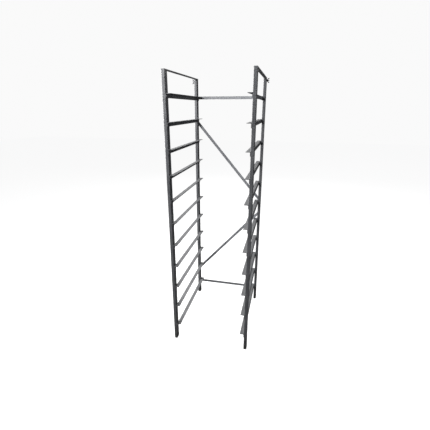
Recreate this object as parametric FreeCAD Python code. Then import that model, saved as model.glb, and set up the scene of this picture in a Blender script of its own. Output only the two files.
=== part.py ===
import FreeCAD, Part
import math
import os

# Tray rack of welded steel: two side frames stand face to face, and each carries
# a ladder of angle runners that point inward. Four flat braces across the back
# hold the frames apart and form a K.
# Millimetres. X runs from the left frame to the right frame, -Y is the open
# front, Z is up. The origin is under the middle of the rack, on the floor.

# --- Overall sizes ---
RACK_HEIGHT = 1780.0        # floor to the top of the top rails
RACK_DEPTH = 660.0          # front face to rear face of a side frame
CLEAR_WIDTH = 481.0         # between the inner faces of the two side frames

# --- Uprights: rectangular tube, the narrow side faces the front ---
TUBE_X = 20.0
TUBE_Y = 40.0
TUBE_WALL = 1.5
TUBE_CORNER = 2.5           # outer corner radius

# --- Top rails: one flat strip along the top of each side frame ---
RAIL_THICKNESS = 5.0
RAIL_CORNER = 1.2

# --- Runners: folded angle, flange on top, leg flat on the uprights ---
LEVELS = 11
TOP_GAP = 124.0             # top of the rack down to the highest flange
BOTTOM_LEVEL_Z = 125.0      # floor up to the lowest flange
FLANGE_WIDTH = 28.0
LEG_HEIGHT = 25.0
RUNNER_THICKNESS = 3.0
FOLD_INSIDE_RADIUS = 2.0
RUNNER_TOE_RADIUS = 0.8

# --- Rear braces: flat bars with round ends, one bolt at each end ---
BRACE_WIDTH = 20.0
BRACE_THICKNESS = 3.0
BRACE_EDGE = 0.6
TOP_BRACE_DROP = 130.0      # top of the rack down to the top brace
BOTTOM_BRACE_Z = 97.0
UPPER_DIAGONAL_DROP = 173.0     # top brace down to the upper diagonal, at the left
LOWER_DIAGONAL_RISE = 133.0     # bottom brace up to the lower diagonal, at the left
MEETING_DROP = 36.5         # middle of the back down to where the diagonals meet
MEETING_GAP = 100.0          # between the two bolts where they meet

# --- Brace fasteners: M6 hexagon bolts in rivet nuts ---
BOLT_RADIUS = 3.0
BOLT_HEAD_FLATS = 10.0
BOLT_HEAD_HEIGHT = 4.0
BOLT_LENGTH = 16.0
BOLT_CLEARANCE = 0.3        # radial, in the brace and the washer
WASHER_RADIUS = 6.0
WASHER_THICKNESS = 1.6
RIVET_RADIUS = 4.5
RIVET_LENGTH = 13.0
RIVET_FLANGE_RADIUS = 6.5
RIVET_FLANGE_THICKNESS = 1.0

# --- Wing nuts: M6, on a stud high on the outer face of each rear upright ---
STUD_DROP = 20.0            # top of the rack down to the stud
STUD_RADIUS = 3.0
STUD_REACH = 18.0           # how far the stud stands out of the upright
STUD_HEAD_RADIUS = 5.0
STUD_HEAD_THICKNESS = 2.0
STUD_CHAMFER = 0.6
WING_CLEARANCE = 0.3        # radial, between the stud and what turns on it
WING_WASHER_RADIUS = 6.4
WING_WASHER_THICKNESS = 1.6
HUB_BASE_RADIUS = 6.5
HUB_TOP_RADIUS = 5.0
HUB_HEIGHT = 8.0
WING_SPAN = 32.0
WING_HEIGHT = 16.5          # from the nut's base to the top of its wings
WING_TIP_RADIUS = 3.6
WING_THICKNESS = 2.4
WING_ROOT_LOW = 1.0         # the wing's root on the hub, above the nut's base
WING_ROOT_HIGH = 6.9
WING_EDGE = 0.5

# --- Foot plugs: moulded, pushed into the open ends of the uprights ---
FOOT_HEIGHT = 6.0
FOOT_CHAMFER = 1.5
PLUG_DEPTH = 22.0
PLUG_CLEARANCE = 0.2
PLUG_WALL = 2.2
PLUG_CORNER = 0.8

# --- Worked out from the sizes above ---
BRACE_STACK = RIVET_FLANGE_THICKNESS + BRACE_THICKNESS + WASHER_THICKNESS + BOLT_HEAD_HEIGHT
FRONT_Y = -(RACK_DEPTH + BRACE_STACK) / 2.0
REAR_Y = FRONT_Y + RACK_DEPTH
INNER_X = CLEAR_WIDTH / 2.0
OUTER_X = INNER_X + TUBE_X
UPRIGHT_X = INNER_X + TUBE_X / 2.0
UPRIGHT_TOP = RACK_HEIGHT - RAIL_THICKNESS
UPRIGHT_Y = {"front": FRONT_Y + TUBE_Y / 2.0, "rear": REAR_Y - TUBE_Y / 2.0}
LEVEL_PITCH = (RACK_HEIGHT - TOP_GAP - BOTTOM_LEVEL_Z) / (LEVELS - 1)
STUD_Z = RACK_HEIGHT - STUD_DROP
SIDES = {"left": -1.0, "right": 1.0}

TOP_BRACE_Z = RACK_HEIGHT - TOP_BRACE_DROP
MEETING_Z = (TOP_BRACE_Z + BOTTOM_BRACE_Z) / 2.0 - MEETING_DROP
# Each brace: height of its bolt at the left upright, then at the right upright.
BRACES = {
    "brace_top": (TOP_BRACE_Z, TOP_BRACE_Z),
    "brace_upper_diagonal": (TOP_BRACE_Z - UPPER_DIAGONAL_DROP, MEETING_Z + MEETING_GAP / 2.0),
    "brace_lower_diagonal": (BOTTOM_BRACE_Z + LOWER_DIAGONAL_RISE, MEETING_Z - MEETING_GAP / 2.0),
    "brace_bottom": (BOTTOM_BRACE_Z, BOTTOM_BRACE_Z),
}

X_AXIS = FreeCAD.Vector(1, 0, 0)
Y_AXIS = FreeCAD.Vector(0, 1, 0)
Z_AXIS = FreeCAD.Vector(0, 0, 1)
ORIGIN = FreeCAD.Vector(0, 0, 0)


def edges_along(shape, axis):
    """The straight edges of a shape that run along an axis."""
    found = []
    for edge in shape.Edges:
        if isinstance(edge.Curve, Part.Line) and abs(edge.tangentAt(edge.FirstParameter).dot(axis)) > 0.999:
            found.append(edge)
    return found


def prism(size_x, size_y, z_low, z_high, corner):
    """An upright block centred on the Z axis, with round vertical corners."""
    block = Part.makeBox(size_x, size_y, z_high - z_low)
    block.translate(FreeCAD.Vector(-size_x / 2.0, -size_y / 2.0, z_low))
    return block.makeFillet(corner, edges_along(block, Z_AXIS))


def rod(radius, length, start, axis):
    """A round bar from a point along an axis."""
    return Part.makeCylinder(radius, length, start, axis)


def ring(outer, inner, length, start, axis):
    """A round bar with a hole through it."""
    return rod(outer, length, start, axis).cut(rod(inner, length, start, axis))


def hexagon(flats, height, start):
    """A hexagonal head that rises along +Y."""
    corners = []
    for step in range(7):
        angle = math.radians(60.0 * step)
        reach = flats / math.sqrt(3.0)
        corners.append(start + FreeCAD.Vector(reach * math.cos(angle), 0, reach * math.sin(angle)))
    return Part.Face(Part.makePolygon(corners)).extrude(Y_AXIS * height)


def brace_bolt_points():
    """The points on the rear face of the uprights where the braces are bolted."""
    points = []
    for left_z, right_z in BRACES.values():
        points.append(FreeCAD.Vector(-UPRIGHT_X, REAR_Y, left_z))
        points.append(FreeCAD.Vector(UPRIGHT_X, REAR_Y, right_z))
    return points


def make_upright(side, place):
    """A tube open at both ends, with holes at the back for rivet nuts and one for the stud."""
    outer = prism(TUBE_X, TUBE_Y, FOOT_HEIGHT, UPRIGHT_TOP, TUBE_CORNER)
    bore = prism(TUBE_X - 2 * TUBE_WALL, TUBE_Y - 2 * TUBE_WALL, FOOT_HEIGHT, UPRIGHT_TOP,
                 TUBE_CORNER - TUBE_WALL)
    tube = outer.cut(bore)
    tube.translate(FreeCAD.Vector(SIDES[side] * UPRIGHT_X, UPRIGHT_Y[place], 0))
    if place == "front":
        return tube
    for point in brace_bolt_points():
        if point.x * SIDES[side] > 0:
            tube = tube.cut(rod(RIVET_RADIUS, TUBE_WALL, point, -Y_AXIS))
    outward = X_AXIS * SIDES[side]
    hole_start = FreeCAD.Vector(SIDES[side] * OUTER_X, UPRIGHT_Y["rear"], STUD_Z)
    return tube.cut(rod(STUD_RADIUS, TUBE_WALL, hole_start, -outward))


def make_top_rail(side):
    """A flat strip that caps both tubes of one side frame."""
    strip = Part.makeBox(TUBE_X, RACK_DEPTH, RAIL_THICKNESS)
    strip.translate(FreeCAD.Vector(SIDES[side] * UPRIGHT_X - TUBE_X / 2.0, FRONT_Y, UPRIGHT_TOP))
    return strip.makeFillet(RAIL_CORNER, edges_along(strip, Z_AXIS))


def make_runner(side, top_z):
    """A folded angle: the flange points inward and the leg hangs against the uprights."""
    inward = -SIDES[side]
    wall_x = SIDES[side] * INNER_X
    outline = [
        (0.0, 0.0),
        (FLANGE_WIDTH, 0.0),
        (FLANGE_WIDTH, -RUNNER_THICKNESS),
        (RUNNER_THICKNESS, -RUNNER_THICKNESS),
        (RUNNER_THICKNESS, -LEG_HEIGHT),
        (0.0, -LEG_HEIGHT),
        (0.0, 0.0),
    ]
    corners = [FreeCAD.Vector(wall_x + inward * reach, FRONT_Y, top_z + rise) for reach, rise in outline]
    angle = Part.Face(Part.makePolygon(corners)).extrude(Y_AXIS * RACK_DEPTH)
    heel = []
    root = []
    toes = []
    for edge in edges_along(angle, Y_AXIS):
        reach = abs(edge.Vertexes[0].X - wall_x)
        drop = top_z - edge.Vertexes[0].Z
        if reach < 0.01 and drop < 0.01:
            heel.append(edge)
        elif abs(reach - RUNNER_THICKNESS) < 0.01 and abs(drop - RUNNER_THICKNESS) < 0.01:
            root.append(edge)
        elif reach > 0.01:
            toes.append(edge)
    angle = angle.makeFillet(RUNNER_TOE_RADIUS, toes)
    folds = [(heel[0], FOLD_INSIDE_RADIUS + RUNNER_THICKNESS), (root[0], FOLD_INSIDE_RADIUS)]
    for old_edge, radius in folds:
        same = [edge for edge in edges_along(angle, Y_AXIS)
                if (edge.CenterOfMass - old_edge.CenterOfMass).Length < 0.01]
        angle = angle.makeFillet(radius, same)
    return angle


def make_brace(left_z, right_z):
    """A flat bar behind the rear uprights, from one bolt to the other, with half-round ends."""
    near_y = REAR_Y + RIVET_FLANGE_THICKNESS
    left = FreeCAD.Vector(-UPRIGHT_X, near_y, left_z)
    right = FreeCAD.Vector(UPRIGHT_X, near_y, right_z)
    along = (right - left).normalize()
    across = along.cross(Y_AXIS) * (BRACE_WIDTH / 2.0)
    cap = along * (BRACE_WIDTH / 2.0)
    outline = Part.Wire([
        Part.LineSegment(left + across, right + across).toShape(),
        Part.Arc(right + across, right + cap, right - across).toShape(),
        Part.LineSegment(right - across, left - across).toShape(),
        Part.Arc(left - across, left - cap, left + across).toShape(),
    ])
    bar = Part.Face(outline).extrude(Y_AXIS * BRACE_THICKNESS)
    rims = [edge for edge in bar.Edges if edge.BoundBox.YLength < 0.01]
    bar = bar.makeChamfer(BRACE_EDGE, rims)
    for centre in (left, right):
        bar = bar.cut(rod(BOLT_RADIUS + BOLT_CLEARANCE, BRACE_THICKNESS, centre, Y_AXIS))
    return bar


def make_rivet_nut(point):
    """A threaded sleeve in the rear wall of an upright, its flange under the brace."""
    sleeve = rod(RIVET_RADIUS, RIVET_LENGTH, point, -Y_AXIS)
    flange = rod(RIVET_FLANGE_RADIUS, RIVET_FLANGE_THICKNESS, point, Y_AXIS)
    bore_start = point + Y_AXIS * RIVET_FLANGE_THICKNESS
    bore = rod(BOLT_RADIUS, RIVET_LENGTH + RIVET_FLANGE_THICKNESS, bore_start, -Y_AXIS)
    return sleeve.fuse(flange).cut(bore).removeSplitter()


def make_washer(point):
    """A flat washer on the back of a brace."""
    start = point + Y_AXIS * (RIVET_FLANGE_THICKNESS + BRACE_THICKNESS)
    return ring(WASHER_RADIUS, BOLT_RADIUS + BOLT_CLEARANCE, WASHER_THICKNESS, start, Y_AXIS)


def make_bolt(point):
    """A hexagon bolt whose head sits on the washer and whose shank enters the rivet nut."""
    seat = point + Y_AXIS * (RIVET_FLANGE_THICKNESS + BRACE_THICKNESS + WASHER_THICKNESS)
    head = hexagon(BOLT_HEAD_FLATS, BOLT_HEAD_HEIGHT, seat)
    bevel = Part.makeCone(BOLT_HEAD_FLATS / 2.0 + BOLT_HEAD_HEIGHT * 2.0, BOLT_HEAD_FLATS / 2.0 * 0.98,
                          BOLT_HEAD_HEIGHT, seat, Y_AXIS)
    shank = rod(BOLT_RADIUS, BOLT_LENGTH, seat, -Y_AXIS)
    return head.common(bevel).fuse(shank).removeSplitter()


def make_foot_plug(side, place):
    """A foot under the tube with a hollow plug that fits inside it."""
    foot = prism(TUBE_X, TUBE_Y, 0.0, FOOT_HEIGHT, TUBE_CORNER)
    floor_edges = [edge for edge in foot.Edges if edge.BoundBox.ZMax < 0.01]
    foot = foot.makeChamfer(FOOT_CHAMFER, floor_edges)
    plug_x = TUBE_X - 2 * (TUBE_WALL + PLUG_CLEARANCE)
    plug_y = TUBE_Y - 2 * (TUBE_WALL + PLUG_CLEARANCE)
    plug_top = FOOT_HEIGHT + PLUG_DEPTH
    plug = prism(plug_x, plug_y, FOOT_HEIGHT, plug_top, PLUG_CORNER)
    pocket = prism(plug_x - 2 * PLUG_WALL, plug_y - 2 * PLUG_WALL, FOOT_HEIGHT, plug_top, PLUG_CORNER)
    foot = foot.fuse(plug.cut(pocket)).removeSplitter()
    foot.translate(FreeCAD.Vector(SIDES[side] * UPRIGHT_X, UPRIGHT_Y[place], 0))
    return foot


def place_on_side(shape, side):
    """Turns a shape built along +Z so that it points outward from the stud's hole."""
    shape.rotate(ORIGIN, Y_AXIS, 90.0 * SIDES[side])
    shape.translate(FreeCAD.Vector(SIDES[side] * OUTER_X, UPRIGHT_Y["rear"], STUD_Z))
    return shape


def make_stud(side):
    """A threaded stud through the upright's outer wall, with its head inside the tube."""
    shank = rod(STUD_RADIUS, STUD_REACH + TUBE_WALL, Z_AXIS * -TUBE_WALL, Z_AXIS)
    tip = [edge for edge in shank.Edges if edge.BoundBox.ZMin > STUD_REACH - 0.01]
    shank = shank.makeChamfer(STUD_CHAMFER, tip)
    head = rod(STUD_HEAD_RADIUS, STUD_HEAD_THICKNESS, Z_AXIS * -TUBE_WALL, -Z_AXIS)
    return place_on_side(shank.fuse(head).removeSplitter(), side)


def make_wing_washer(side):
    """The washer under a wing nut."""
    bore = STUD_RADIUS + WING_CLEARANCE
    return place_on_side(ring(WING_WASHER_RADIUS, bore, WING_WASHER_THICKNESS, ORIGIN, Z_AXIS), side)


def tangent_point(start_x, start_z, centre_x, centre_z, radius, turn):
    """Where a line from a point touches a circle; turn is +1 or -1 for either side."""
    gap_x = centre_x - start_x
    gap_z = centre_z - start_z
    gap = math.hypot(gap_x, gap_z)
    bearing = math.atan2(gap_z, gap_x) + turn * math.asin(radius / gap)
    reach = math.sqrt(gap * gap - radius * radius)
    return (start_x + reach * math.cos(bearing), start_z + reach * math.sin(bearing))


def make_wing(mirror):
    """One flat wing in the XZ plane: a straight root, two tangent sides and a round tip."""
    root_x = STUD_RADIUS + WING_CLEARANCE + 0.5
    tip_x = WING_SPAN / 2.0 - WING_TIP_RADIUS
    tip_z = WING_HEIGHT - WING_TIP_RADIUS
    low = (HUB_BASE_RADIUS - 1.0, WING_ROOT_LOW)
    high = (root_x, WING_ROOT_HIGH)
    low_touch = tangent_point(low[0], low[1], tip_x, tip_z, WING_TIP_RADIUS, -1.0)
    high_touch = tangent_point(high[0], high[1], tip_x, tip_z, WING_TIP_RADIUS, 1.0)
    far = (tip_x + WING_TIP_RADIUS, tip_z)
    points = [(root_x, WING_ROOT_LOW), low, low_touch, far, high_touch, high]
    spots = [FreeCAD.Vector(mirror * x, -WING_THICKNESS / 2.0, z) for x, z in points]
    outline = Part.Wire([
        Part.LineSegment(spots[0], spots[1]).toShape(),
        Part.LineSegment(spots[1], spots[2]).toShape(),
        Part.Arc(spots[2], spots[3], spots[4]).toShape(),
        Part.LineSegment(spots[4], spots[5]).toShape(),
        Part.LineSegment(spots[5], spots[0]).toShape(),
    ])
    wing = Part.Face(outline).extrude(Y_AXIS * WING_THICKNESS)
    rims = []
    for edge in wing.Edges:
        if edge.BoundBox.YLength < 0.01 and abs(edge.CenterOfMass.x) > HUB_BASE_RADIUS:
            rims.append(edge)
    return wing.makeChamfer(WING_EDGE, rims)


def make_wing_nut(side):
    """A hub that narrows outward, with two wings that stand up and down at rest."""
    hub = Part.makeCone(HUB_BASE_RADIUS, HUB_TOP_RADIUS, HUB_HEIGHT)
    nut = hub.fuse([make_wing(1.0), make_wing(-1.0)])
    nut = nut.cut(rod(STUD_RADIUS + WING_CLEARANCE, WING_HEIGHT, ORIGIN, Z_AXIS)).removeSplitter()
    nut.translate(Z_AXIS * WING_WASHER_THICKNESS)
    return place_on_side(nut, side)


def build():
    """Every piece of the rack, by node name."""
    nodes = {}
    for side in SIDES:
        for place in UPRIGHT_Y:
            nodes[f"upright_{side}_{place}"] = make_upright(side, place)
            nodes[f"foot_plug_{side}_{place}"] = make_foot_plug(side, place)
        nodes[f"top_rail_{side}"] = make_top_rail(side)
        for level in range(LEVELS):
            top_z = RACK_HEIGHT - TOP_GAP - level * LEVEL_PITCH
            nodes[f"runner_{side}_{level + 1:02d}"] = make_runner(side, top_z)
        nodes[f"wing_stud_{side}"] = make_stud(side)
        nodes[f"wing_washer_{side}"] = make_wing_washer(side)
        nodes[f"wing_nut_{side}"] = make_wing_nut(side)
    for name, (left_z, right_z) in BRACES.items():
        nodes[name] = make_brace(left_z, right_z)
    points = brace_bolt_points()
    nodes["brace_rivet_nuts"] = Part.makeCompound([make_rivet_nut(point) for point in points])
    nodes["brace_washers"] = Part.makeCompound([make_washer(point) for point in points])
    nodes["brace_bolts"] = Part.makeCompound([make_bolt(point) for point in points])
    return nodes


os.makedirs("parts", exist_ok=True)
for node_name, node_shape in build().items():
    node_shape.exportStep(f"parts/{node_name}.step")
    print(node_name, "valid" if node_shape.isValid() else "INVALID", round(node_shape.Volume / 1000.0, 2), "cm3")
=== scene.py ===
"""Tray rack: finishes, weld beads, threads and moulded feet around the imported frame, and its studio."""
import functools
import logging
import math
from dataclasses import dataclass, field
from enum import Enum

import bpy
import numpy as np
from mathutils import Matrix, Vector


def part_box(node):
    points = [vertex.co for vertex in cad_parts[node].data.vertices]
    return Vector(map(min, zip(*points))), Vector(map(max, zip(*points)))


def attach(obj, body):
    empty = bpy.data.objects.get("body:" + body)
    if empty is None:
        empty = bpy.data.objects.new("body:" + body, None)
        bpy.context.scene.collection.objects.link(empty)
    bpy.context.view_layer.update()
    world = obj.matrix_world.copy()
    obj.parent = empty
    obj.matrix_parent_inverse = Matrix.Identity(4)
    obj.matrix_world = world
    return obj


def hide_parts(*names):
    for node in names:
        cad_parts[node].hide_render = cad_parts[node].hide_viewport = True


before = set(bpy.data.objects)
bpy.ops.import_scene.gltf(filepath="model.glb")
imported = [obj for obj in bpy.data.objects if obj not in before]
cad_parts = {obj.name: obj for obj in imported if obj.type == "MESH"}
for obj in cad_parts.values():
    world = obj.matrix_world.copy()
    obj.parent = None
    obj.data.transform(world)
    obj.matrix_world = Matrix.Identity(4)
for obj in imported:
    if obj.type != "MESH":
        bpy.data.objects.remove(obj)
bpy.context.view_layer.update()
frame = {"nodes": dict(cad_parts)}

LOG = logging.getLogger("tray_rack")
RACK_BODY = "rack"
Colour = tuple[float, float, float]
Point = tuple[float, float, float]


class Side(Enum):
    """The two side frames, by the sign of their X."""

    LEFT = -1.0
    RIGHT = 1.0

    @property
    def word(self) -> str:
        """The side's name as the nodes spell it."""
        return self.name.lower()


class Axis(Enum):
    """The way that a piece's scuffs and brush marks run."""

    X = (1.0, 0.0, 0.0)
    Y = (0.0, 1.0, 0.0)
    Z = (0.0, 0.0, 1.0)

    @property
    def stretch(self) -> Point:
        """Scales that stretch a pattern about thirty times along this axis."""
        return tuple(1.0 / 30.0 if share else 1.0 for share in self.value)


# --- Meshes -----------------------------------------------------------------------------------------


class Skin:
    """Collects closed shells, each a grid of points, and makes one mesh object of them."""

    def __init__(self) -> None:
        """Starts with no points."""
        self.points: list[np.ndarray] = []
        self.faces: list[list[int]] = []
        self.count = 0

    def _keep(self, points: np.ndarray, quads: np.ndarray, fans: np.ndarray) -> None:
        """Adds a shell and turns it so that its faces point outwards.

        A shell's volume is the sum of a . (b x c) / 6 over its triangles. It is negative when the
        shell is inside out, and then every face is listed backwards.

        Args:
            points: one row of x, y and z for each point.
            quads: four corner numbers for each quad.
            fans: three corner numbers for each triangle at a pole.
        """
        triangles = np.concatenate([quads[:, [0, 1, 2]], quads[:, [0, 2, 3]], fans])
        a, b, c = (points[triangles[:, corner]] for corner in range(3))
        if np.sum(a * np.cross(b, c)) < 0.0:
            quads = quads[:, ::-1]
            fans = fans[:, ::-1]
        self.faces += (quads + self.count).tolist() + (fans + self.count).tolist()
        self.points.append(points)
        self.count += len(points)

    def add_capped(self, rings: np.ndarray, start: np.ndarray, end: np.ndarray) -> None:
        """Adds a shell of rings that closes in a pole at each end.

        Args:
            rings: points by ring, by place round the ring, by x, y and z.
            start: the pole before the first ring.
            end: the pole after the last ring.
        """
        rows, columns, _ = rings.shape
        points = np.concatenate([rings.reshape(-1, 3), [start, end]])
        place = np.arange(columns)
        after = (place + 1) % columns
        first_fan = np.stack([np.full(columns, rows * columns), after, place], axis=-1)
        last_row = (rows - 1) * columns
        last_fan = np.stack([np.full(columns, rows * columns + 1), last_row + place, last_row + after], axis=-1)
        self._keep(points, self._quads(rows, columns, False), np.concatenate([first_fan, last_fan]))

    def add_hoop(self, rings: np.ndarray) -> None:
        """Adds a shell of rings whose last ring joins the first, such as a nut with a bore.

        Args:
            rings: points by ring, by place round the ring, by x, y and z.
        """
        rows, columns, _ = rings.shape
        no_fans = np.zeros((0, 3), dtype=int)
        self._keep(rings.reshape(-1, 3), self._quads(rows, columns, True), no_fans)

    @staticmethod
    def _quads(rows: int, columns: int, wrap_rows: bool) -> np.ndarray:
        """Corner numbers of the quads between neighbouring rings.

        Args:
            rows: how many rings there are.
            columns: how many points a ring has.
            wrap_rows: whether the last ring joins the first.

        Returns:
            Four corner numbers for each quad.
        """
        row, column = np.meshgrid(np.arange(rows if wrap_rows else rows - 1), np.arange(columns), indexing="ij")
        below = (row + 1) % rows
        beside = (column + 1) % columns
        quad_corners = [row * columns + column, row * columns + beside,
                        below * columns + beside, below * columns + column]
        return np.stack(quad_corners, axis=-1).reshape(-1, 4)

    def to_object(self, name: str, body: str, material: bpy.types.Material,
                  crease_degrees: float = 35.0) -> bpy.types.Object:
        """Makes the mesh object, dresses it and lets it ride on its body.

        Args:
            name: the piece's name.
            body: the CAD body that it moves with.
            material: its finish.
            crease_degrees: edges sharper than this stay sharp in the shading.

        Returns:
            The new object, at the origin.
        """
        mesh = bpy.data.meshes.new(name)
        mesh.from_pydata(np.concatenate(self.points), [], self.faces)
        mesh.polygons.foreach_set("use_smooth", np.ones(len(mesh.polygons), dtype=bool))
        mesh.set_sharp_from_angle(angle=math.radians(crease_degrees))
        mesh.materials.append(material)
        mesh.validate()
        piece = bpy.data.objects.new(name, mesh)
        bpy.context.scene.collection.objects.link(piece)
        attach(piece, body)
        LOG.info("%s: %d faces on %s", name, len(mesh.polygons), body)
        return piece


def rounded_ring(half_x: float, half_y: float, corner: float, z: float, steps: int = 7) -> np.ndarray:
    """A rectangle with round corners: each corner is a quarter circle about its own centre.

    Args:
        half_x: half the size along X.
        half_y: half the size along Y.
        corner: the corner radius.
        z: the ring's height.
        steps: points in each corner.

    Returns:
        The ring's points, counted round the Z axis.
    """
    quarter, share = np.meshgrid(np.arange(4), np.linspace(0.0, 1.0, steps), indexing="ij")
    angle = ((quarter + share) * math.pi / 2.0).ravel()
    sign_x = np.where((quarter == 0) | (quarter == 3), 1.0, -1.0).ravel()
    sign_y = np.where(quarter < 2, 1.0, -1.0).ravel()
    x = sign_x * (half_x - corner) + corner * np.cos(angle)
    y = sign_y * (half_y - corner) + corner * np.sin(angle)
    return np.stack([x, y, np.full_like(x, z)], axis=-1)


def turned_rings(radii: np.ndarray, heights: np.ndarray, columns: int) -> np.ndarray:
    """A turned form: each radius and height is swept once round the Z axis.

    Args:
        radii: the profile's radii, one for each ring.
        heights: the profile's heights, one for each ring.
        columns: points round a ring.

    Returns:
        The points by ring and by place round the ring.
    """
    angle = np.linspace(0.0, 2.0 * math.pi, columns, endpoint=False)
    x = radii[:, None] * np.cos(angle)[None, :]
    y = radii[:, None] * np.sin(angle)[None, :]
    return np.stack([x, y, np.broadcast_to(heights[:, None], x.shape)], axis=-1)


# --- Shaders ----------------------------------------------------------------------------------------


class Graph:
    """Adds nodes to one node tree and links them."""

    def __init__(self, tree: bpy.types.NodeTree) -> None:
        """Works on the given tree."""
        self.tree = tree

    def add(self, kind: str, **settings: object) -> bpy.types.Node:
        """Adds a node.

        Args:
            kind: the node's type name.
            settings: properties of the node and their values.

        Returns:
            The new node.
        """
        node = self.tree.nodes.new(kind)
        for name, value in settings.items():
            setattr(node, name, value)
        return node

    def feed(self, value: object, socket: bpy.types.NodeSocket) -> None:
        """Links an output to a socket, or sets the socket to a constant."""
        if isinstance(value, bpy.types.NodeSocket):
            self.tree.links.new(value, socket)
        else:
            socket.default_value = value

    def maths(self, operation: str, *values: object, clamp: bool = False) -> bpy.types.NodeSocket:
        """A Math node.

        Args:
            operation: what it works out.
            values: its inputs, as outputs of other nodes or as numbers.
            clamp: whether the result is kept from 0 to 1.

        Returns:
            The result's socket.
        """
        node = self.add("ShaderNodeMath", operation=operation, use_clamp=clamp)
        for socket, value in zip(node.inputs, values):
            self.feed(value, socket)
        return node.outputs[0]

    def times(self, first: object, second: object, clamp: bool = False) -> bpy.types.NodeSocket:
        """The product of two values, as a Math node's socket."""
        return self.maths("MULTIPLY", first, second, clamp=clamp)

    def ramp(self, value: object, low: float, high: float) -> bpy.types.NodeSocket:
        """A smooth step: 0 below low, 1 above high.

        Args:
            value: what is read.
            low: where the step starts.
            high: where the step ends.

        Returns:
            The step's socket.
        """
        node = self.add("ShaderNodeMapRange", interpolation_type="SMOOTHSTEP")
        self.feed(value, node.inputs["Value"])
        self.feed(low, node.inputs["From Min"])
        self.feed(high, node.inputs["From Max"])
        return node.outputs["Result"]

    def scaled_sum(self, base: float, *terms: tuple[bpy.types.NodeSocket, float]) -> bpy.types.NodeSocket:
        """A number plus each mask times its weight.

        Args:
            base: the number.
            terms: the masks, each with its weight.

        Returns:
            The sum's socket.
        """
        total = base
        for mask, weight in terms:
            total = self.maths("ADD", total, self.times(mask, weight))
        return total

    def blend(self, share: object, first: object, second: object) -> bpy.types.NodeSocket:
        """Mixes two colours.

        Args:
            share: how much of the second colour shows.
            first: a colour or the socket of one.
            second: a colour or the socket of one.

        Returns:
            The mixed colour's socket.
        """
        node = self.add("ShaderNodeMix", data_type="RGBA")
        self.feed(share, node.inputs["Factor"])
        for name, colour in (("A", first), ("B", second)):
            socket = [one for one in node.inputs if one.name == name and one.type == "RGBA"][0]
            self.feed(colour if isinstance(colour, bpy.types.NodeSocket) else (*colour, 1.0), socket)
        return [one for one in node.outputs if one.type == "RGBA"][0]

    def noise(self, vector: object, scale: object, detail: float = 3.0,
              roughness: float = 0.5) -> bpy.types.NodeSocket:
        """Fractal noise from 0 to 1.

        Args:
            vector: where it is read.
            scale: its scale, a number or a socket.
            detail: how many octaves it has.
            roughness: how strong the fine octaves are.

        Returns:
            The noise's socket.
        """
        node = self.add("ShaderNodeTexNoise")
        self.feed(vector, node.inputs["Vector"])
        self.feed(scale, node.inputs["Scale"])
        self.feed(detail, node.inputs["Detail"])
        self.feed(roughness, node.inputs["Roughness"])
        return node.outputs["Fac"]

    def group(self, tree: bpy.types.NodeTree, **values: object) -> bpy.types.Node:
        """Places a node group.

        Args:
            tree: the group.
            values: its inputs by name, with _ for a space.

        Returns:
            The group's node.
        """
        node = self.add("ShaderNodeGroup", node_tree=tree)
        for name, value in values.items():
            self.feed(value, node.inputs[name.replace("_", " ")])
        return node


NUMBER = "NodeSocketFloat"
VECTOR = "NodeSocketVector"


@dataclass
class Canvas:
    """A new material with its graph, its shader and the Object coordinates that its patterns read."""

    name: str
    material: bpy.types.Material = field(init=False)
    graph: Graph = field(init=False)
    shader: bpy.types.Node = field(init=False)
    place: bpy.types.NodeSocket = field(init=False)

    def __post_init__(self) -> None:
        """Makes the material."""
        self.material = bpy.data.materials.new(self.name)
        self.material.use_nodes = True
        self.graph = Graph(self.material.node_tree)
        self.shader = self.material.node_tree.nodes["Principled BSDF"]
        self.place = self.graph.add("ShaderNodeTexCoord").outputs["Object"]

    def emboss(self, height: bpy.types.NodeSocket, depth: float) -> None:
        """Lets a height pattern tilt the shader's normal.

        Args:
            height: the pattern's height.
            depth: how deep a height of 1 is.
        """
        bump = self.graph.add("ShaderNodeBump")
        bump.inputs["Distance"].default_value = depth
        self.graph.feed(height, bump.inputs["Height"])
        self.graph.feed(bump.outputs["Normal"], self.shader.inputs["Normal"])


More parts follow.
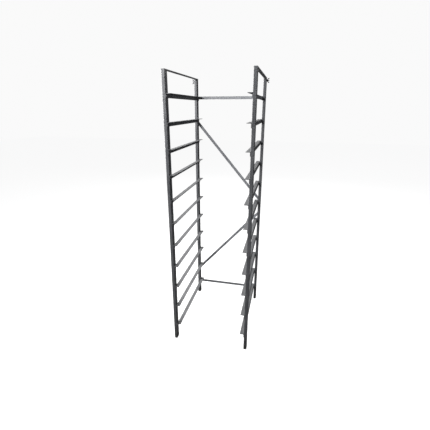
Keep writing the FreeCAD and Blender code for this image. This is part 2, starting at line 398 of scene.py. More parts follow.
class Effects:
    """Shared surface effects, each a node group that is built once."""

    @staticmethod
    def _new(name: str, inputs: dict[str, str], outputs: tuple[str, ...]) -> tuple[Graph, dict, bpy.types.Node]:
        """Starts a node group.

        Args:
            name: the group's name.
            inputs: its inputs, by name, and the kind of each.
            outputs: the names of its outputs, all numbers.

        Returns:
            The graph to build in, its inputs by name and its output node.
        """
        tree = bpy.data.node_groups.new(name, "ShaderNodeTree")
        for socket_name, kind in inputs.items():
            tree.interface.new_socket(socket_name, in_out="INPUT", socket_type=kind)
        for socket_name in outputs:
            tree.interface.new_socket(socket_name, in_out="OUTPUT", socket_type=NUMBER)
        graph = Graph(tree)
        source = graph.add("NodeGroupInput")
        target = graph.add("NodeGroupOutput")
        return graph, {socket.name: socket for socket in source.outputs}, target

    @staticmethod
    @functools.cache
    def paint_skin() -> bpy.types.NodeTree:
        """Sprayed paint: a fine orange-peel height, and a slow mottle of tone from 0 to 1."""
        graph, given, target = Effects._new(
            "paint_skin", {"Vector": VECTOR, "Peel Scale": NUMBER}, ("Height", "Mottle"))
        peel = graph.noise(given["Vector"], given["Peel Scale"], detail=2.0, roughness=0.4)
        grit = graph.noise(given["Vector"], graph.times(given["Peel Scale"], 3.7), detail=1.0)
        height = graph.maths("ADD", peel, graph.times(grit, 0.25))
        slow = graph.noise(given["Vector"], graph.times(given["Peel Scale"], 0.012), detail=5.0, roughness=0.6)
        graph.feed(height, target.inputs["Height"])
        graph.feed(graph.ramp(slow, 0.3, 0.7), target.inputs["Mottle"])
        return graph.tree

    @staticmethod
    @functools.cache
    def edge_wear() -> bpy.types.NodeTree:
        """Rubbed edges: how far the rounded normal leaves the true one, broken up by noise."""
        graph, given, target = Effects._new(
            "edge_wear", {"Vector": VECTOR, "Radius": NUMBER, "Amount": NUMBER}, ("Mask",))
        rounded = graph.add("ShaderNodeBevel", samples=4)
        graph.feed(given["Radius"], rounded.inputs["Radius"])
        true_normal = graph.add("ShaderNodeNewGeometry").outputs["Normal"]
        agree = graph.add("ShaderNodeVectorMath", operation="DOT_PRODUCT")
        graph.feed(rounded.outputs["Normal"], agree.inputs[0])
        graph.feed(true_normal, agree.inputs[1])
        edge = graph.maths("SUBTRACT", 1.0, agree.outputs["Value"], clamp=True)
        patches = graph.noise(given["Vector"], 46.0, detail=4.0, roughness=0.65)
        limit = graph.maths("SUBTRACT", 0.84, graph.times(given["Amount"], 0.5))
        chipped = graph.times(graph.maths("SUBTRACT", patches, limit), 9.0, clamp=True)
        mask = graph.times(graph.ramp(edge, 0.02, 0.12), chipped, clamp=True)
        graph.feed(mask, target.inputs["Mask"])
        return graph.tree

    @staticmethod
    @functools.cache
    def scuffs() -> bpy.types.NodeTree:
        """Long rub marks: noise stretched along the piece, cut to thin streaks and then to patches."""
        graph, given, target = Effects._new(
            "scuffs", {"Vector": VECTOR, "Stretch": VECTOR, "Amount": NUMBER}, ("Mask",))
        pulled = graph.add("ShaderNodeVectorMath", operation="MULTIPLY")
        graph.feed(given["Vector"], pulled.inputs[0])
        graph.feed(given["Stretch"], pulled.inputs[1])
        streaks = graph.noise(pulled.outputs["Vector"], 620.0, roughness=0.6)
        patches = graph.noise(given["Vector"], 9.0, roughness=0.6)
        limit = graph.maths("SUBTRACT", 0.74, graph.times(given["Amount"], 0.22))
        thin = graph.times(graph.maths("SUBTRACT", streaks, limit), 14.0, clamp=True)
        graph.feed(graph.times(thin, graph.ramp(patches, 0.42, 0.62)), target.inputs["Mask"])
        return graph.tree

    @staticmethod
    @functools.cache
    def settled_dust() -> bpy.types.NodeTree:
        """Flour dust on what faces up: the normal's share of up, times soft noise."""
        graph, given, target = Effects._new("settled_dust", {"Vector": VECTOR, "Amount": NUMBER}, ("Mask",))
        parts = graph.add("ShaderNodeSeparateXYZ")
        graph.feed(graph.add("ShaderNodeNewGeometry").outputs["Normal"], parts.inputs[0])
        upward = graph.ramp(parts.outputs["Z"], 0.35, 0.95)
        cloud = graph.ramp(graph.noise(given["Vector"], 24.0, detail=5.0, roughness=0.65), 0.3, 0.75)
        fall = graph.times(upward, graph.maths("ADD", graph.times(cloud, 0.7), 0.3))
        graph.feed(graph.times(fall, given["Amount"], clamp=True), target.inputs["Mask"])
        return graph.tree

    @staticmethod
    @functools.cache
    def floor_grime() -> bpy.types.NodeTree:
        """Splashes and mop marks near the floor: they fade out with height, with a ragged edge."""
        graph, given, target = Effects._new("floor_grime", {"Vector": VECTOR, "Reach": NUMBER}, ("Mask",))
        parts = graph.add("ShaderNodeSeparateXYZ")
        graph.feed(given["Vector"], parts.inputs[0])
        share = graph.maths("DIVIDE", parts.outputs["Z"], given["Reach"])
        ragged = graph.maths("ADD", share, graph.noise(given["Vector"], 30.0, detail=4.0, roughness=0.6))
        graph.feed(graph.maths("SUBTRACT", 1.0, graph.ramp(ragged, 0.4, 1.5)), target.inputs["Mask"])
        return graph.tree


@dataclass(frozen=True)
class Paint:
    """Sprayed semi-gloss paint on steel, with rubbed edges, streaks, dust and grime."""

    name: str
    colour: Colour = (0.062, 0.064, 0.069)
    faded: Colour = (0.092, 0.094, 0.1)
    bare: Colour = (0.36, 0.35, 0.34)
    dust: Colour = (0.42, 0.41, 0.39)
    grime: Colour = (0.022, 0.02, 0.018)
    roughness: float = 0.36
    scuffs_along: Axis = Axis.Z
    scuff_amount: float = 0.15
    wear_amount: float = 0.12
    dust_amount: float = 0.1
    peel_scale: float = 950.0
    wear_radius: float = 0.0011
    peel_depth: float = 0.00002
    grime_reach: float = 0.14
    streak_cover: float = 0.45
    grime_cover: float = 0.75
    worn_metal: float = 0.85
    chip_depth: float = 1.2
    mottle_rough: float = 0.08
    dust_rough: float = 0.5
    grime_rough: float = 0.2

    def material(self) -> bpy.types.Material:
        """Builds the material.

        Returns:
            A node material that reads Object coordinates.
        """
        canvas = Canvas(self.name)
        graph, shader, place = canvas.graph, canvas.shader, canvas.place
        skin = graph.group(Effects.paint_skin(), Vector=place, Peel_Scale=self.peel_scale)
        wear = graph.group(Effects.edge_wear(), Vector=place, Radius=self.wear_radius, Amount=self.wear_amount)
        rubs = graph.group(Effects.scuffs(), Vector=place, Stretch=self.scuffs_along.stretch,
                           Amount=self.scuff_amount)
        fall = graph.group(Effects.settled_dust(), Vector=place, Amount=self.dust_amount)
        splash = graph.group(Effects.floor_grime(), Vector=place, Reach=self.grime_reach)
        streaks = graph.times(rubs.outputs["Mask"], self.streak_cover)
        bared = graph.maths("MAXIMUM", wear.outputs["Mask"], streaks)
        tone = graph.blend(skin.outputs["Mottle"], self.colour, self.faded)
        tone = graph.blend(bared, tone, self.bare)
        tone = graph.blend(fall.outputs["Mask"], tone, self.dust)
        tone = graph.blend(graph.times(splash.outputs["Mask"], self.grime_cover), tone, self.grime)
        graph.feed(tone, shader.inputs["Base Color"])
        graph.feed(graph.times(wear.outputs["Mask"], self.worn_metal), shader.inputs["Metallic"])
        rough = graph.scaled_sum(self.roughness, (skin.outputs["Mottle"], self.mottle_rough),
                                 (fall.outputs["Mask"], self.dust_rough),
                                 (splash.outputs["Mask"], self.grime_rough))
        graph.feed(graph.maths("MINIMUM", rough, 1.0), shader.inputs["Roughness"])
        chips = graph.times(bared, self.chip_depth)
        canvas.emboss(graph.maths("SUBTRACT", skin.outputs["Height"], chips), self.peel_depth)
        return canvas.material


@dataclass(frozen=True)
class PlatedSteel:
    """Zinc-plated or blackened steel: a fine brushed grain and a cloudy tone with darker patches."""

    name: str
    colour: Colour = (0.42, 0.42, 0.43)
    cloud: Colour = (0.27, 0.27, 0.29)
    roughness: float = 0.34
    metallic: float = 1.0
    brushed_along: Axis = Axis.Y
    brushing: float = 0.9
    grain_scale: float = 2400.0
    grain_depth: float = 0.00003
    cloud_scale: float = 210.0
    cloud_rough: float = 0.16
    brushed_shine: float = 0.12

    def material(self) -> bpy.types.Material:
        """Builds the material.

        Returns:
            A node material that reads Object coordinates.
        """
        canvas = Canvas(self.name)
        graph, shader, place = canvas.graph, canvas.shader, canvas.place
        shader.inputs["Metallic"].default_value = self.metallic
        skin = graph.group(Effects.paint_skin(), Vector=place, Peel_Scale=self.grain_scale)
        rubs = graph.group(Effects.scuffs(), Vector=place, Stretch=self.brushed_along.stretch,
                           Amount=self.brushing)
        cloud = graph.ramp(graph.noise(place, self.cloud_scale, detail=4.0, roughness=0.6), 0.35, 0.65)
        tone = graph.blend(cloud, self.colour, self.cloud)
        graph.feed(tone, shader.inputs["Base Color"])
        rough = graph.scaled_sum(self.roughness, (cloud, self.cloud_rough),
                                 (rubs.outputs["Mask"], -self.brushed_shine))
        graph.feed(rough, shader.inputs["Roughness"])
        canvas.emboss(skin.outputs["Height"], self.grain_depth)
        return canvas.material


@dataclass(frozen=True)
class MouldedPlastic:
    """Matt moulded plastic with a spark-eroded grain and scuffed, greyed edges."""

    name: str
    colour: Colour = (0.016, 0.016, 0.017)
    scuffed: Colour = (0.1, 0.1, 0.1)
    roughness: float = 0.55
    mottle_rough: float = 0.2
    grain_scale: float = 3600.0
    grain_depth: float = 0.00005
    wear_radius: float = 0.0009
    wear_amount: float = 0.8

    def material(self) -> bpy.types.Material:
        """Builds the material.

        Returns:
            A node material that reads Object coordinates.
        """
        canvas = Canvas(self.name)
        graph, shader, place = canvas.graph, canvas.shader, canvas.place
        skin = graph.group(Effects.paint_skin(), Vector=place, Peel_Scale=self.grain_scale)
        wear = graph.group(Effects.edge_wear(), Vector=place, Radius=self.wear_radius, Amount=self.wear_amount)
        graph.feed(graph.blend(wear.outputs["Mask"], self.colour, self.scuffed), shader.inputs["Base Color"])
        rough = graph.scaled_sum(self.roughness, (skin.outputs["Mottle"], self.mottle_rough))
        graph.feed(rough, shader.inputs["Roughness"])
        canvas.emboss(skin.outputs["Height"], self.grain_depth)
        return canvas.material


@dataclass(frozen=True)
class Palette:
    """Every finish on the rack."""

    frame: Paint = Paint("frame_paint", scuffs_along=Axis.Z)
    runner: Paint = Paint("runner_paint", scuffs_along=Axis.Y, scuff_amount=0.5, wear_amount=0.2,
                          dust_amount=0.12)
    brace: Paint = Paint("brace_paint", colour=(0.163, 0.168, 0.181), faded=(0.24, 0.246, 0.262),
                         scuffs_along=Axis.X, roughness=0.42)
    weld: Paint = Paint("weld_paint", scuffs_along=Axis.Y, roughness=0.42, wear_amount=0.2,
                        peel_depth=0.00006)
    zinc: PlatedSteel = PlatedSteel("zinc_plate")
    black_nut: PlatedSteel = PlatedSteel("blackened_cast_nut", colour=(0.05, 0.05, 0.053),
                                         cloud=(0.03, 0.03, 0.032), roughness=0.42, metallic=0.6)
    foot: MouldedPlastic = MouldedPlastic("foot_plastic")

    @functools.cache
    def built(self) -> dict[str, bpy.types.Material]:
        """The materials by finish, built once."""
        finishes = {"frame": self.frame, "runner": self.runner, "brace": self.brace, "weld": self.weld,
                    "zinc": self.zinc, "black_nut": self.black_nut, "foot": self.foot}
        return {name: finish.material() for name, finish in finishes.items()}


def dress(node: str, material: bpy.types.Material) -> None:
    """Puts one material on a CAD node.

    Args:
        node: the node's name.
        material: its finish.
    """
    slots = frame["nodes"][node].material_slots
    if not slots:
        frame["nodes"][node].data.materials.append(material)
    for slot in slots:
        slot.material = material
    LOG.info("%s: dressed in %s", node, material.name)


# --- Sub-assemblies ---------------------------------------------------------------------------------


@dataclass
class WeldSeam:
    """A fillet weld bead along a straight seam, as overlapping crescents.

    The bead's radius is its full size times (1 - (2s - 1)^8)^(1/2), where s runs from 0 to 1 along
    the seam, so that both ends are round. It swells by about a tenth once for each crescent, and the
    crescent's middle runs ahead of its edges by a share of the crescent's pitch.
    """

    start: np.ndarray
    end: np.ndarray
    radius: float = 0.0024
    crescent: float = 0.0029
    swell: float = 0.11
    lead: float = 0.35
    rows: int = 34
    columns: int = 8

    def add_to(self, skin: Skin, phase: float) -> None:
        """Adds the bead to a skin.

        Args:
            skin: where the bead goes.
            phase: where in a crescent the bead starts, in turns.
        """
        length = float(np.linalg.norm(self.end - self.start))
        along = (self.end - self.start) / length
        side = np.cross(along, (0.0, 0.0, 1.0))
        up = np.cross(side, along)
        share = np.linspace(0.004, 0.996, self.rows)[:, None]
        angle = np.linspace(0.0, 2.0 * math.pi, self.columns, endpoint=False)[None, :]
        turns = length * share / self.crescent + phase
        taper = np.sqrt(1.0 - (2.0 * share - 1.0) ** 8)
        size = self.radius * taper * (1.0 + self.swell * np.cos(2 * math.pi * turns))
        ahead = self.lead * self.crescent * np.cos(angle) * np.sin(math.pi * share)
        rings = (self.start + along * (length * share + ahead)[..., None]
                 + side * (size * np.cos(angle))[..., None] + up * (size * np.sin(angle))[..., None])
        skin.add_capped(rings, self.start, self.end)


@dataclass
class SideFrame:
    """One welded side frame: two uprights, a top rail, its runners and the welds between them."""

    side: Side
    materials: dict[str, bpy.types.Material]
    levels: int = 11
    seam_share: float = 0.8
    heel_in: float = 0.0012
    heel_drop: float = 0.0009
    toe_in: float = 0.0012
    toe_drop: float = 0.0004
    rail_bead: float = 0.0016
    places: tuple[str, str] = ("front", "rear")

    def node(self, piece: str) -> str:
        """The node's name of one of this frame's pieces."""
        return f"{piece}_{self.side.word}"

    def upright(self, place: str) -> str:
        """The node's name of the front or rear upright."""
        return f"upright_{self.side.word}_{place}"

    def runners(self) -> list[str]:
        """The nodes' names of the runners, from the top."""
        return [f"runner_{self.side.word}_{level:02d}" for level in range(1, self.levels + 1)]

    def dress_nodes(self) -> None:
        """Dresses the tubes, the rail and the runners."""
        for place in self.places:
            dress(self.upright(place), self.materials["frame"])
        dress(self.node("top_rail"), self.materials["frame"])
        for runner in self.runners():
            dress(runner, self.materials["runner"])

    def weld(self) -> bpy.types.Object:
        """Welds each runner's heel and toe to both uprights, and the rail to their tops.

        Returns:
            The beads of this frame as one piece.
        """
        skin = Skin()
        draw = np.random.default_rng(11 if self.side is Side.LEFT else 12)
        inward = -self.side.value
        for place in self.places:
            low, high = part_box(self.upright(place))
            middle_y = (low[1] + high[1]) / 2.0
            reach = (high[1] - low[1]) / 2.0 * self.seam_share
            wall_x = low[0] if self.side is Side.RIGHT else high[0]
            for runner in self.runners():
                runner_low, runner_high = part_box(runner)
                for inset, z in ((self.heel_in, runner_high[2] - self.heel_drop),
                                 (self.toe_in, runner_low[2] - self.toe_drop)):
                    x = wall_x + inward * inset
                    start = np.array([x, middle_y - reach, z])
                    end = np.array([x, middle_y + reach, z])
                    WeldSeam(start, end).add_to(skin, float(draw.random()))
            for x in (low[0], high[0]):
                start = np.array([x, middle_y - reach, high[2]])
                end = np.array([x, middle_y + reach, high[2]])
                WeldSeam(start, end, radius=self.rail_bead).add_to(skin, float(draw.random()))
        return skin.to_object(f"weld_beads_{self.side.word}", RACK_BODY, self.materials["weld"])


@dataclass
class FootPlug:
    """A moulded foot: a rounded sole, a small lip under the tube, and a finned hollow plug inside it."""

    side: Side
    place: str
    material: bpy.types.Material
    wall: float = 0.0015
    corner: float = 0.0025
    sole_height: float = 0.006
    plug_height: float = 0.022
    plug_wall: float = 0.0022
    plug_clearance: float = 0.0002
    fin_start: float = 0.0004
    fin_gap: float = 0.0044
    fin_depth: float = 0.0007
    rim: float = 0.0008
    rim_inset: float = 0.0005
    least_corner: float = 0.0005
    sole_profile: tuple[tuple[float, float], ...] = (   # height over the floor, inset from the tube's outside
        (0.0, 0.0019), (0.00015, 0.0012), (0.0006, 0.0005), (0.0015, 0.0), (0.0041, 0.0),
        (0.0043, 0.0003), (0.0047, 0.0003), (0.0049, 0.0))

    def build(self) -> bpy.types.Object:
        """Makes the foot in place of its plain solid.

        The foot is a stack of rounded rectangles. Each has a height and an inset from the tube's
        outside, and the inset of the plug swings between two values once for each fin.

        Returns:
            The foot.
        """
        node = f"foot_plug_{self.side.word}_{self.place}"
        low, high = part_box(node)
        half_x = (high[0] - low[0]) / 2.0
        half_y = (high[1] - low[1]) / 2.0
        centre = np.array([(low[0] + high[0]) / 2.0, (low[1] + high[1]) / 2.0, low[2]])
        fit = self.wall + self.plug_clearance
        fins = []
        for turn in np.arange(0.0, self.plug_height / self.fin_gap - 0.5, 0.25):
            swing = 0.5 + 0.5 * math.cos(2 * math.pi * turn)
            fins.append((self.sole_height + self.fin_start + turn * self.fin_gap, fit + self.fin_depth * swing))
        top = self.sole_height + self.plug_height
        outside = fit + self.fin_depth
        inside = outside + self.plug_wall
        rim = [(top - self.rim, outside), (top, outside + self.rim_inset), (top, inside),
               (self.sole_height, inside)]
        rings = []
        for z, inset in [*self.sole_profile, (self.sole_height, 0.0), *fins, *rim]:
            corner = max(self.corner - inset, self.least_corner)
            rings.append(rounded_ring(half_x - inset, half_y - inset, corner, z) + centre)
        skin = Skin()
        skin.add_capped(np.stack(rings), centre, centre + (0.0, 0.0, self.sole_height))
        foot = skin.to_object(f"foot_{self.side.word}_{self.place}", RACK_BODY, self.material)
        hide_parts(node)
        return foot


@dataclass
class BackBracing:
    """The four flat braces, their rivet nuts and washers, and hexagon bolts with true bevelled heads."""

    materials: dict[str, bpy.types.Material]
    braces: tuple[str, ...] = ("brace_top", "brace_upper_diagonal", "brace_lower_diagonal", "brace_bottom")
    shank_radius: float = 0.003
    shank_length: float = 0.016
    across_flats: float = 0.010
    head_height: float = 0.004
    washer_radius: float = 0.006
    brace_width: float = 0.020
    point_length: float = 0.0008
    point_share: float = 0.7
    neck: float = 0.0001
    bevel_share: float = 0.95
    bevel_slope: float = 1.75
    foot_share: float = 0.98
    foot_slope: float = 2.2
    head_shares: tuple[float, ...] = (0.0, 0.12, 0.6, 0.8, 0.88, 0.95, 1.0)
    columns: int = 48

    def dress_nodes(self) -> None:
        """Dresses the bars and the small fasteners that keep their plain solids."""
        for brace in self.braces:
            dress(brace, self.materials["brace"])
        for node in ("brace_rivet_nuts", "brace_washers"):
            dress(node, self.materials["zinc"])

    def bolt_places(self) -> np.ndarray:
        """The middle of each bolt's seat, worked out from the ends of the braces.

        Returns:
            One row of x, y and z for each bolt.
        """
        places = []
        washer_low, washer_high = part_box("brace_washers")
        reach = (washer_high[0] - washer_low[0]) / 2.0 - self.washer_radius
        for brace in self.braces:
            low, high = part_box(brace)
            half = self.brace_width / 2.0
            ends = {"brace_upper_diagonal": (high[2] - half, low[2] + half),
                    "brace_lower_diagonal": (low[2] + half, high[2] - half)}
            middle = (low[2] + high[2]) / 2.0
            left_z, right_z = ends.get(brace, (middle, middle))
            places += [(-reach, washer_high[1], left_z), (reach, washer_high[1], right_z)]
        return np.array(places)

    def bolt_rings(self) -> np.ndarray:
        """One bolt about the Y axis, its head rising from y = 0.

        Round the head the radius is half the flats over cos(a), where a is the angle from the
        nearest flat's middle, but never more than the top bevel's cone, or the cone of the small
        step over the washer, allows at that height.

        Returns:
            The points by ring and by place round the ring.
        """
        flat = self.across_flats / 2.0
        angle = np.linspace(0.0, 2.0 * math.pi, self.columns, endpoint=False)
        from_flat = (angle + math.pi / 6.0) % (math.pi / 3.0) - math.pi / 6.0
        hexagon = flat / np.cos(from_flat)
        rows = [(-self.shank_length, self.shank_radius * self.point_share),
                (-self.shank_length + self.point_length, self.shank_radius), (-self.neck, self.shank_radius)]
        for y in np.array(self.head_shares) * self.head_height:
            cone = flat * self.bevel_share + (self.head_height - y) * self.bevel_slope
            foot = flat * self.foot_share + y * self.foot_slope
            rows.append((y, np.minimum(np.minimum(hexagon, cone), foot)))
        rings = [[radius * np.cos(angle), np.full_like(angle, y), radius * np.sin(angle)] for y, radius in rows]
        return np.stack([np.stack(ring, axis=-1) for ring in rings])

    def bolts(self) -> bpy.types.Object:
        """Makes all the bolts as one piece.

        Returns:
            The bolts.
        """
        rings = self.bolt_rings()
        skin = Skin()
        for place in self.bolt_places():
            point = place - (0.0, self.shank_length, 0.0)
            crown = place + (0.0, self.head_height, 0.0)
            skin.add_capped(rings + place, point, crown)
        piece = skin.to_object("hexagon_bolts", RACK_BODY, self.materials["zinc"],
                               crease_degrees=25.0)
        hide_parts("brace_bolts")
        return piece


@dataclass
class WingFitting:
    """A threaded stud, its washer and a cast wing nut, high on one rear upright.

    Shapes are worked out along +Z from the upright's outer face, and then turned to point outward.
    """

    side: Side
    materials: dict[str, bpy.types.Material]
    pitch: float = 0.001
    major_radius: float = 0.003
    minor_radius: float = 0.00245
    bore_radius: float = 0.0033
    hub_base: float = 0.0065
    hub_top: float = 0.005
    hub_height: float = 0.008
    tip_radius: float = 0.0036
    half_span: float = 0.016
    wing_height: float = 0.0165
    head_radius: float = 0.005
    head_edge: float = 0.0004
    tube_wall: float = 0.0015
    thread_steps: int = 8
    thread_columns: int = 40
    tip_length: float = 0.0008
    tip_chamfer: float = 0.0006
    tip_share: float = 0.86
    neck_relief: float = 0.0001
    neck_gap: float = 0.0002
    base_rim: float = 0.0004
    top_rim: float = 0.0009
    bore_edge: float = 0.0005
    root_width: float = 0.0029
    root_thickness: float = 0.0021
    thinning: float = 0.0009
    tip_thickness: float = 0.0012
    wing_sag: float = 0.0007

    def seat(self) -> np.ndarray:
        """The stud's middle on the upright's outer face."""
        low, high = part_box(f"wing_washer_{self.side.word}")
        x = high[0] if self.side is Side.LEFT else low[0]
        return np.array([x, (low[1] + high[1]) / 2.0, (low[2] + high[2]) / 2.0])

    def outward(self, points: np.ndarray) -> np.ndarray:
        """Turns points from along +Z to along the outward X, and moves them to the stud's seat.

        Args:
            points: points whose last axis is x, y and z.

        Returns:
            The points in the rack's frame.
        """
        sign = self.side.value
        turned = np.stack([sign * points[..., 2], points[..., 1], -sign * points[..., 0]], axis=-1)
        return turned + self.seat()

    def stud(self) -> bpy.types.Object:
        """Makes the stud with its thread.

        The radius swings between the minor and major radius as a triangle wave of the height over
        the pitch less the angle over a turn, so that the crest climbs one pitch for each turn.

        Returns:
            The stud.
        """
        low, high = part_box(f"wing_stud_{self.side.word}")
        reach = max(abs(low[0]), abs(high[0])) - abs(self.seat()[0])
        head = high[0] - low[0] - reach
        heights = np.arange(0.0, reach - self.tip_length, self.pitch / self.thread_steps)
        columns = self.thread_columns
        angle = np.linspace(0.0, 2.0 * math.pi, columns, endpoint=False)
        turn = heights[:, None] / self.pitch - angle[None, :] / (2.0 * math.pi)
        wave = np.abs(2.0 * (turn % 1.0) - 1.0)
        crest = np.clip(wave * 1.25 - 0.1, 0.0, 1.0)
        radius = self.minor_radius + (self.major_radius - self.minor_radius) * crest
        thread = np.stack([radius * np.cos(angle), radius * np.sin(angle),
                           np.broadcast_to(heights[:, None], radius.shape)], axis=-1)
        neck = self.major_radius - self.neck_relief
        head_r = self.head_radius
        root_r = np.array([head_r - 0.5 * self.head_edge, head_r, head_r, neck, neck])
        root_z = np.array([-head, -head + self.head_edge, -self.tube_wall, -self.tube_wall, -self.neck_gap])
        root = turned_rings(root_r, root_z, columns)
        tip = turned_rings(np.array([self.minor_radius, self.minor_radius * self.tip_share]),
                           np.array([reach - self.tip_chamfer, reach]), columns)
        rings = self.outward(np.concatenate([root, thread, tip]))
        skin = Skin()
        inner, outer = (self.outward(np.array([0.0, 0.0, z])) for z in (-head, reach))
        skin.add_capped(rings, inner, outer)
        piece = skin.to_object(f"threaded_stud_{self.side.word}", RACK_BODY, self.materials["zinc"])
        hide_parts(f"wing_stud_{self.side.word}")
        return piece

    def hub(self) -> np.ndarray:
        """The hub: a cone with rounded rims, bored through.

        Returns:
            Its rings, of which the last joins the first.
        """
        quarter = np.linspace(0.0, math.pi / 2.0, 5)
        base_r = self.hub_base - self.base_rim + self.base_rim * np.sin(quarter)
        base_z = self.base_rim * (1.0 - np.cos(quarter))
        top_r = self.hub_top - self.top_rim + self.top_rim * np.cos(quarter)
        top_z = self.hub_height - self.top_rim + self.top_rim * np.sin(quarter)
        mouth = self.bore_radius + self.bore_edge
        bore_r = np.array([mouth, self.bore_radius, self.bore_radius, mouth])
        bore_z = np.array([self.hub_height, self.hub_height - self.bore_edge, self.bore_edge, 0.0])
        return turned_rings(np.concatenate([base_r, top_r, bore_r]), np.concatenate([base_z, top_z, bore_z]),
                            columns=48)

    def wing(self, mirror: float) -> tuple[np.ndarray, np.ndarray, np.ndarray]:
        """One wing: flattened rings carried from the hub to the tip.

        A ring is a superellipse with the power 3. Its half-width grows slowly to the tip radius and
        then follows a quarter circle, and its half-thickness thins from the hub to the tip.

        Args:
            mirror: +1 for one wing, -1 for the other.

        Returns:
            The rings, the pole in the hub and the pole at the tip.
        """
        root = np.array([self.hub_top - 0.0004, self.hub_height / 2.0])
        tip = np.array([self.half_span, self.wing_height]) - self.tip_radius
        way = (tip - root) / np.linalg.norm(tip - root)
        share = np.linspace(0.0, 1.0, 12)
        bend = np.linspace(0.0, 0.49 * math.pi, 9)[1:]
        straight = root + (tip - root) * share[:, None]
        centre = np.concatenate([straight, tip + way * self.tip_radius * np.sin(bend)[:, None]])
        sag = np.concatenate([self.wing_sag * np.sin(math.pi * share), np.zeros_like(bend)])
        centre = centre + sag[:, None] * np.array([way[1], -way[0]])
        widening = self.root_width + (self.tip_radius - self.root_width) * share ** 2
        width = np.concatenate([widening, self.tip_radius * np.cos(bend)])
        thick = np.concatenate([self.root_thickness - self.thinning * share,
                                self.tip_thickness * np.sqrt(np.cos(bend))])
        angle = np.linspace(0.0, 2.0 * math.pi, 28, endpoint=False)
        across = np.sign(np.cos(angle)) * np.abs(np.cos(angle)) ** (2.0 / 3.0)
        through = np.sign(np.sin(angle)) * np.abs(np.sin(angle)) ** (2.0 / 3.0)
        plane = centre[:, None, :] + (width[:, None] * across)[..., None] * np.array([-way[1], way[0]])
        rings = np.stack([mirror * plane[..., 0], thick[:, None] * through, plane[..., 1]], axis=-1)
        far = tip + way * self.tip_radius
        return rings, np.array([mirror * root[0], 0.0, root[1]]), np.array([mirror * far[0], 0.0, far[1]])

    def nut(self) -> bpy.types.Object:
        """Makes the wing nut: the hub and its two wings.

        Returns:
            The nut, which rides on its own body.
        """
        low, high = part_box(f"wing_washer_{self.side.word}")
        lift = np.array([0.0, 0.0, high[0] - low[0]])
        skin = Skin()
        skin.add_hoop(self.outward(self.hub() + lift))
        for mirror in (1.0, -1.0):
            rings, start, end = self.wing(mirror)
            skin.add_capped(self.outward(rings + lift), self.outward(start + lift), self.outward(end + lift))
        body = f"wing_nut_{self.side.word}"
        piece = skin.to_object(f"cast_wing_nut_{self.side.word}", body, self.materials["black_nut"])
        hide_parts(f"wing_nut_{self.side.word}")
        return piece

    def build(self) -> None:
        """Makes the stud and the nut, and dresses the washer."""
        self.stud()
        self.nut()
        dress(f"wing_washer_{self.side.word}", self.materials["zinc"])


# --- Studio -----------------------------------------------------------------------------------------


@dataclass
class SoftLight:
    """One soft box: where it stands, what it faces, its size and its power."""

    name: str
    place: Point
    aim: Point
    width: float
    height: float
    power: float

    def add(self) -> None:
        """Adds the light to the scene."""
        data = bpy.data.lights.new(self.name, "AREA")
        data.shape = "RECTANGLE"
        data.size = self.width
        data.size_y = self.height
        data.energy = self.power
        light = bpy.data.objects.new(self.name, data)
        light.location = self.place
        way = np.array(self.aim) - np.array(self.place)
        heading = math.atan2(-way[0], way[1])
        tilt = math.atan2(math.hypot(way[0], way[1]), -way[2])
        light.rotation_euler = (tilt, 0.0, heading)
        light.visible_camera = False
        bpy.context.scene.collection.objects.link(light)


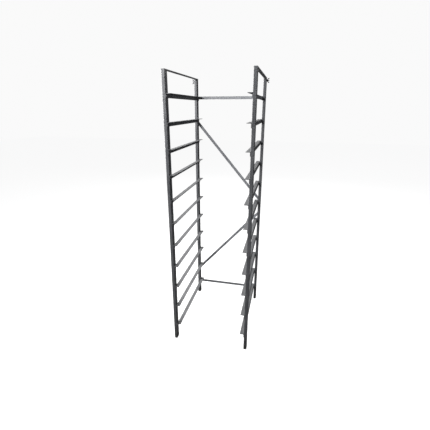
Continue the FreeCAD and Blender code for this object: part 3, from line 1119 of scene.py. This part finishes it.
@dataclass
class Studio:
    """A pale floor, soft light and the camera."""

    lights: list[SoftLight] = field(default_factory=lambda: [
        SoftLight("key", (-1.4, -2.2, 2.6), (0.0, 0.0, 1.2), 1.2, 1.2, 90.0),
        SoftLight("front_edge", (-2.2, -2.6, 1.6), (0.0, 0.0, 1.2), 1.2, 1.6, 14.0),
        SoftLight("top_left", (-0.5, -1.0, 2.5), (-0.25, -0.33, 1.4), 0.7, 0.7, 10.0),
        SoftLight("left_side", (-2.4, 0.0, 1.6), (0.0, 0.0, 1.0), 1.4, 1.4, 190.0),
        SoftLight("right_fill", (2.4, 0.0, 1.6), (0.0, 0.0, 1.0), 1.4, 1.4, 16.0),
        SoftLight("back_wall", (0.0, 3.6, 3.4), (0.0, 0.0, 1.2), 5.0, 2.0, 74.0),
    ])
    eye: Point = (0.4376, -2.0471, 1.5767)
    heading: float = 0.2284
    dip: float = 0.3334
    lens_mm: float = 25.78
    sensor_mm: float = 36.0
    floor_half: float = 14.0
    floor_rough: float = 0.9
    floor_base: Colour = (0.3, 0.3, 0.3)
    floor_glow: Colour = (0.93, 0.93, 0.93)
    floor_bounce: Colour = (0.09, 0.09, 0.09)
    backdrop: Colour = (0.955, 0.955, 0.955)
    ambient: Colour = (0.035, 0.037, 0.041)

    def add_camera(self) -> None:
        """Adds the camera at eye height, turned and tipped towards the rack."""
        data = bpy.data.cameras.new("camera")
        data.sensor_width = self.sensor_mm
        data.lens = self.lens_mm
        camera = bpy.data.objects.new("camera", data)
        camera.location = self.eye
        camera.rotation_euler = (math.pi / 2.0 - self.dip, 0.0, self.heading)
        bpy.context.scene.collection.objects.link(camera)
        bpy.context.scene.camera = camera

    def add_floor(self) -> None:
        """Adds a floor that looks evenly pale, and gives back little light to the rack's undersides."""
        mesh = bpy.data.meshes.new("studio_floor")
        half = self.floor_half
        corners = np.array([(-half, -half, 0.0), (half, -half, 0.0), (half, half, 0.0), (-half, half, 0.0)])
        mesh.from_pydata(corners, [], [(0, 1, 2, 3)])
        material = bpy.data.materials.new("studio_floor")
        material.use_nodes = True
        graph = Graph(material.node_tree)
        shader = material.node_tree.nodes["Principled BSDF"]
        shader.inputs["Roughness"].default_value = self.floor_rough
        seen = graph.add("ShaderNodeLightPath").outputs["Is Camera Ray"]
        shader.inputs["Emission Strength"].default_value = 1.0
        graph.feed(graph.blend(seen, self.floor_bounce, self.floor_base), shader.inputs["Base Color"])
        graph.feed(graph.blend(seen, (0.0, 0.0, 0.0), self.floor_glow), shader.inputs["Emission Color"])
        mesh.materials.append(material)
        floor = bpy.data.objects.new("studio_floor", mesh)
        bpy.context.scene.collection.objects.link(floor)

    def add_surroundings(self) -> None:
        """Makes the backdrop white to the eye, and dim as a source of light."""
        world = bpy.data.worlds.new("studio")
        world.use_nodes = True
        graph = Graph(world.node_tree)
        seen = graph.add("ShaderNodeLightPath").outputs["Is Camera Ray"]
        background = world.node_tree.nodes["Background"]
        graph.feed(graph.blend(seen, self.ambient, self.backdrop), background.inputs["Color"])
        bpy.context.scene.world = world
        bpy.context.scene.view_settings.view_transform = "Standard"

    def build(self) -> None:
        """Sets up the whole studio."""
        self.add_camera()
        self.add_floor()
        self.add_surroundings()
        for light in self.lights:
            light.add()


def corners(bounds: tuple) -> list[list[float]]:
    """A box's two corners as plain lists of numbers."""
    return [[float(value) for value in corner] for corner in bounds]


def main() -> None:
    """Builds the rack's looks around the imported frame, and then the studio."""
    logging.basicConfig(level=logging.INFO, format="%(name)s: %(message)s")
    materials = Palette().built()
    for side in Side:
        side_frame = SideFrame(side, materials)
        side_frame.dress_nodes()
        side_frame.weld()
        for place in side_frame.places:
            FootPlug(side, place, materials["foot"]).build()
        WingFitting(side, materials).build()
    bracing = BackBracing(materials)
    bracing.dress_nodes()
    bracing.bolts()
    Studio().build()


if __name__ == "__main__":
    main()
